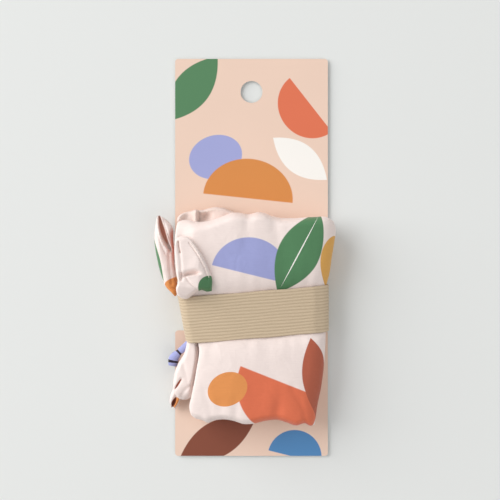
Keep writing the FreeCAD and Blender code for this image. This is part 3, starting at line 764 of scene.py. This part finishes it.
def drape_front(x, y):
    """Upper level of the strap: a body with a roll at its end, a dimple, pleats and a hem."""
    body = 29.0 + 1.6 * np.clip((38 - y) / 18, 0, 1)
    roll = 0.9 * np.exp(-((y - 13.0 + 0.25 * (x + 32)) / 3.4) ** 2) * np.clip((-23 - x) / 6, 0, 1)
    arc = y - 18.4 + 0.025 * (x + 29) ** 2
    dimple = (4.4 * np.exp(-np.where(arc > 0, arc / 1.8, arc / 0.5) ** 2)
              * np.exp(-((x + 32.6) / 4.6) ** 4))
    pleat = (2.0 * crease(x, y, [(-39.4, 35.6), (-39.2, 33.0), (-38.6, 30.0)], 0.5)
             + 0.5 * crease(x, y, [(-38.6, 30.0), (-37.9, 23.0), (-37.8, 18.0)], 0.8)
             + 1.8 * crease(x, y, [(-37.9, 18.4), (-37.8, 15.4)], 0.7)
             + 0.8 * crease(x, y, [(-35.0, 16.2), (-33.0, 13.6), (-31.0, 11.8), (-29.2, 10.0)], 0.45))
    hem = 0.7 * crease(x, y, STRAP_HEM, 0.4)
    fall = 4.6 * np.clip((11.5 - y) / 6.5, 0, 1) ** 1.5
    lean = 3.6 * np.clip((x + 28.5) / 7.0, 0, 1) ** 1.3
    top = body + roll - dimple - pleat - hem - fall - lean + 0.2 * soft_noise(x, y, 7.0, 6.0)
    return np.maximum(top, drape_rear(x, y) + STRAP_THINNEST)


drape = soft_form("draped_handle_strap", DRAPE_EDGES, (84, 110), drape_front, drape_rear,
                  lambda x, y: drape_rear(x, y) + STRAP_THINNEST, rounds=(1.5, 2.6))
drape.data.materials.append(cloth_material("printed_strap_cloth", [
    (GREEN, (-19.8, 8.0), (7.5, 10.5), 40, DISC, WHOLE)]))
stitch_row("strap_hem_stitches", drape, [(x + 0.75, y + 0.35) for x, y in STRAP_HEM], "draped_loop")
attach(drape, "draped_loop")
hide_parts("draped_handle")


# Elastic band: one strip of beige woven rib elastic sewn into a loop. Fifteen ribs run
# round it; it lies flat in the card's notches and pulls the bundle in, a little askew.
BAND_WALL = 1.0
SIDE_GAP = 0.5
NOTCH_X = 33.0
RIBS = 15
RIB_STEPS = 6
RIB_DEPTH = 0.16
LEFT_REACHES = (39.0, 34.4)
SIDE_SHARES = (0.44, 0.2)
JOIN_X = 19.0
JOIN_TOP = 11.6
ZIGZAGS = 16


def band_ring(left_reach, growth):
    """Places (x, z) round the loop at this height in its wall, from the right of its rear."""
    clearance = SIDE_GAP + growth
    top = BAG_LOW + WAIST + clearance
    low = BAND_WALL - growth
    rear_half = NOTCH_X + SIDE_GAP
    turn = np.radians(np.linspace(0, 90, 18))
    halves = []
    for side, reach, share in ((1, BAND_REACH, SIDE_SHARES[0]), (-1, left_reach, SIDE_SHARES[1])):
        corner = share * WAIST + clearance
        rise = BAG_LOW + share * WAIST - low
        outer = reach + clearance
        lower = np.stack([side * (rear_half + (outer - rear_half) * np.sin(turn)),
                          low + rise * (1 - np.cos(turn))], axis=1)
        upper = np.stack([side * (outer - corner + corner * np.cos(turn)),
                          top - corner + corner * np.sin(turn)], axis=1)
        run = side * np.linspace(outer - corner, 0, 26)[1:]
        flat_run = np.stack([run, np.full(len(run), top)], axis=1)
        halves.append(np.concatenate([lower, upper[1:], flat_run]))
    rear = np.stack([np.linspace(-rear_half, rear_half, 22)[1:], np.full(21, low)], axis=1)
    return np.concatenate([halves[0], halves[1][::-1][1:], rear])


across_band = np.linspace(0, 1, RIBS * RIB_STEPS + 1)
rows = []
for growth, shares in ((1.0, across_band), (0.0, across_band[::-RIB_STEPS])):
    for share in shares:
        left_reach = LEFT_REACHES[0] + (LEFT_REACHES[1] - LEFT_REACHES[0]) * share
        rib = RIB_DEPTH * abs(math.sin(math.pi * RIBS * share)) ** 0.6 - RIB_DEPTH
        edge = 0.35 * (1 - quarter_round(np.array(min(share, 1 - share) * BAND_WIDTH), 0.6))
        ring = band_ring(left_reach, growth * (BAND_WALL + rib - edge))
        fall = band_drop(ring[:, 0]) * np.clip((ring[:, 1] - 0.5) / (BAG_LOW + WAIST), 0, 1)
        wave = 0.12 * np.sin(ring[:, 0] / 5.0 + 9 * share) * (ring[:, 1] > 15)
        ring[:, 1] -= right_fall(ring[:, 0]) * np.clip((ring[:, 1] - 13.2) / 8, 0, 1)
        y = BAND_WIDTH / 2 - BAND_WIDTH * share - fall + wave
        rows.append(np.stack([ring[:, 0], y, ring[:, 1]], axis=1))
band_places = np.array(rows + rows[:1])
band_walk = np.linalg.norm(np.diff(band_places, axis=1), axis=2)
band_walk = np.concatenate([np.zeros((len(band_walk), 1)), np.cumsum(band_walk, axis=1)], axis=1)
band_shares = np.r_[across_band, across_band[::-RIB_STEPS], 0.0] * BAND_WIDTH
band = lay_cloth("woven_elastic_loop", band_places,
                 np.dstack([band_walk, band_shares[:, None].repeat(band_walk.shape[1], 1)]))

elastic_material, elastic_tree, elastic_shader = new_material(
    "woven_rib_elastic", Roughness=0.78, Sheen_Weight=0.2, Sheen_Roughness=0.5)
elastic_place = scaled(elastic_tree, add_node(elastic_tree, "UVMap").outputs[0], PER_METRE)
over_width = add_node(elastic_tree, "SeparateXYZ", i0=elastic_place).outputs[1]
rib_angle = math_node(elastic_tree, "MULTIPLY", over_width, math.pi * RIBS / BAND_WIDTH)
rib_high = math_node(elastic_tree, "ABSOLUTE", math_node(elastic_tree, "SINE", rib_angle))
elastic_weave = add_node(elastic_tree, "Group", {"node_tree": PLAIN_WEAVE}, Place=elastic_place,
                         Thread_Pitch=0.55)
# Rib crests lighter and the grooves between them darker: painted light and shade on the ribs.
rib_painted_shade = mixed(elastic_tree, rib_high, pigment("c0a98b"), pigment("d6c1a4"))
elastic_tone = scaled(elastic_tree, rib_painted_shade, elastic_weave.outputs["Tone"])
elastic_tree.links.new(elastic_tone, elastic_shader.inputs["Base Color"])
elastic_bump = add_node(elastic_tree, "Bump", Strength=0.5, Distance=0.0001,
                        Height=elastic_weave.outputs["Height"])
elastic_tree.links.new(elastic_bump.outputs[0], elastic_shader.inputs["Normal"])
band.data.materials.append(elastic_material)
join_line = [(JOIN_X + 1.0 * (-1) ** turn, JOIN_TOP - 2 * JOIN_TOP * turn / ZIGZAGS)
             for turn in range(ZIGZAGS + 1)]
join_length = sum(math.dist(a, b) for a, b in zip(join_line, join_line[1:]))
stitch_row("band_join_stitches", band, join_line, "band", pitch=join_length / ZIGZAGS,
           from_above=False, sunk=0.27, colour="e6d8c0")
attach(band, "band")
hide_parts("elastic_band")
